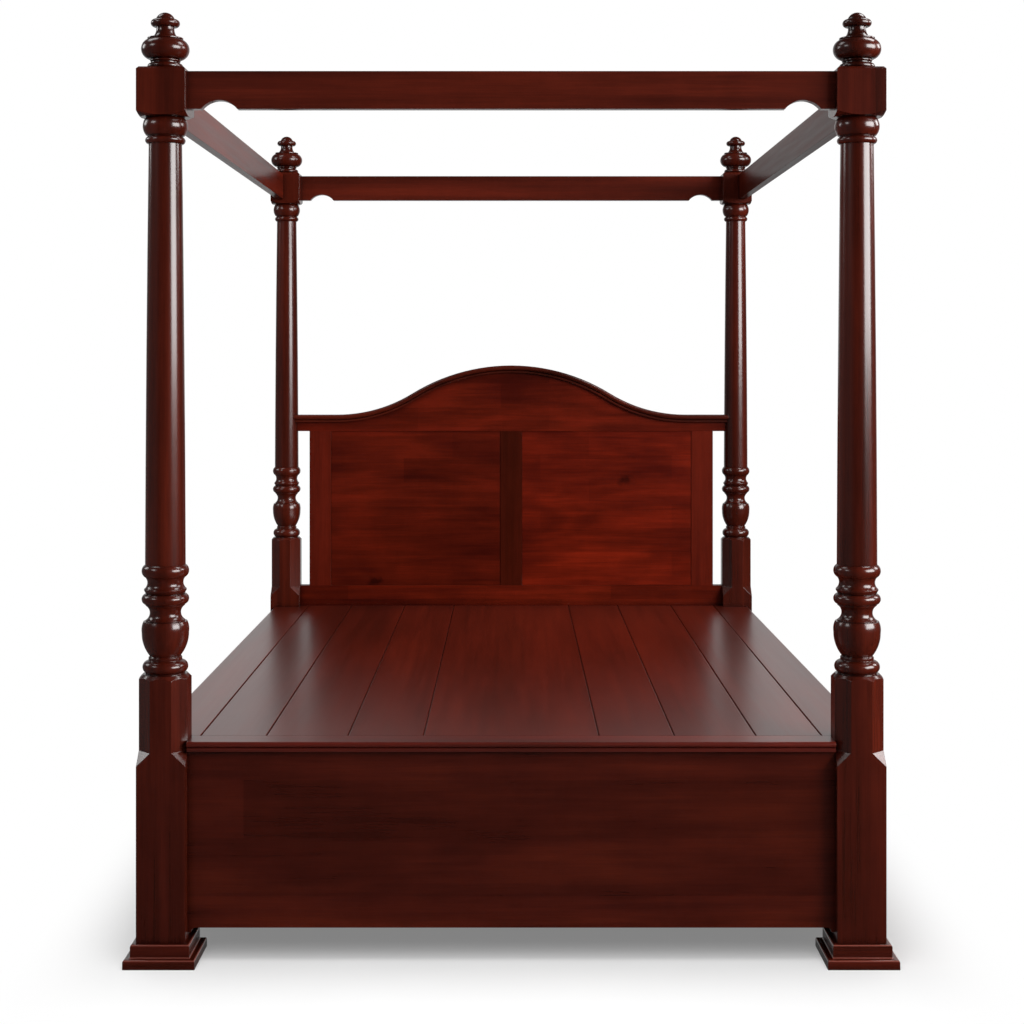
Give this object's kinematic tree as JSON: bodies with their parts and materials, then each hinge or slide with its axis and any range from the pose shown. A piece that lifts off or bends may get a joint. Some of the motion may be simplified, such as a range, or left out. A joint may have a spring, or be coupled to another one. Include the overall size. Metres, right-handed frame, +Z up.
{
  "type": "canopy bed",
  "caption": "Mahogany four-post canopy bed with turned posts and finials, straight canopy rails, boarded platform deck, deep foot panel and camelback panelled headboard",
  "frame": {"origin": "floor level under the middle of the bed", "axes": "+X to the right seen from the foot, +Y from the foot to the head, +Z up"},
  "size_m": [1.726, 2.295, 2.14],
  "materials": {
    "mahogany_lacquer": "semi-gloss lacquer",
    "understructure_timber": "planed and sealed",
    "fittings_steel": "zinc plated"
  },
  "bodies": {
    "frame": {"canopy_rail_foot": "mahogany_lacquer", "canopy_rail_head": "mahogany_lacquer", "canopy_rail_left": "mahogany_lacquer", "canopy_rail_right": "mahogany_lacquer", "centre_beam": "understructure_timber", "centre_leg_1": "understructure_timber", "centre_leg_2": "understructure_timber", "centre_leg_3": "understructure_timber", "cross_bearer_1": "understructure_timber", "cross_bearer_2": "understructure_timber", "cross_bearer_3": "understructure_timber", "cross_bearer_4": "understructure_timber", "cross_bearer_5": "understructure_timber", "deck_board_centre": "mahogany_lacquer", "deck_board_inner_left": "mahogany_lacquer", "deck_board_inner_right": "mahogany_lacquer", "deck_board_middle_left": "mahogany_lacquer", "deck_board_middle_right": "mahogany_lacquer", "deck_board_outer_left": "mahogany_lacquer", "deck_board_outer_right": "mahogany_lacquer", "deck_side_board_left": "mahogany_lacquer", "deck_side_board_right": "mahogany_lacquer", "foot_column_left": "mahogany_lacquer", "foot_column_right": "mahogany_lacquer", "foot_ledger": "understructure_timber", "foot_nosing": "mahogany_lacquer", "foot_panel": "mahogany_lacquer", "foot_post_left": "mahogany_lacquer", "foot_post_right": "mahogany_lacquer", "head_column_left": "mahogany_lacquer", "head_column_right": "mahogany_lacquer", "head_end_panel": "mahogany_lacquer", "head_ledger": "understructure_timber", "head_post_left": "mahogany_lacquer", "head_post_right": "mahogany_lacquer", "headboard_bottom_rail": "mahogany_lacquer", "headboard_cap": "mahogany_lacquer", "headboard_crest_rail": "mahogany_lacquer", "headboard_muntin": "mahogany_lacquer", "headboard_panel_left": "mahogany_lacquer", "headboard_panel_right": "mahogany_lacquer", "headboard_stile_left": "mahogany_lacquer", "headboard_stile_right": "mahogany_lacquer", "plinth_foot_left": "mahogany_lacquer", "plinth_foot_right": "mahogany_lacquer", "plinth_head_left": "mahogany_lacquer", "plinth_head_right": "mahogany_lacquer", "post_joint_studs": "fittings_steel", "post_slot_plates": "fittings_steel", "rail_hook_plates": "fittings_steel", "side_ledger_left": "understructure_timber", "side_ledger_right": "understructure_timber", "side_rail_left": "mahogany_lacquer", "side_rail_right": "mahogany_lacquer"},
    "finial_foot_left": {"finial_foot_left": "mahogany_lacquer"},
    "finial_foot_right": {"finial_foot_right": "mahogany_lacquer"},
    "finial_head_left": {"finial_head_left": "mahogany_lacquer"},
    "finial_head_right": {"finial_head_right": "mahogany_lacquer"}
  },
  "joints": [
    {"name": "finial_foot_left_lift", "type": "slide", "parent": "frame", "child": "finial_foot_left", "axis": [0, 0, 1], "range_m": [0, 0.08]},
    {"name": "finial_foot_right_lift", "type": "slide", "parent": "frame", "child": "finial_foot_right", "axis": [0, 0, 1], "range_m": [0, 0.08]},
    {"name": "finial_head_left_lift", "type": "slide", "parent": "frame", "child": "finial_head_left", "axis": [0, 0, 1], "range_m": [0, 0.08]},
    {"name": "finial_head_right_lift", "type": "slide", "parent": "frame", "child": "finial_head_right", "axis": [0, 0, 1], "range_m": [0, 0.08]}
  ]
}
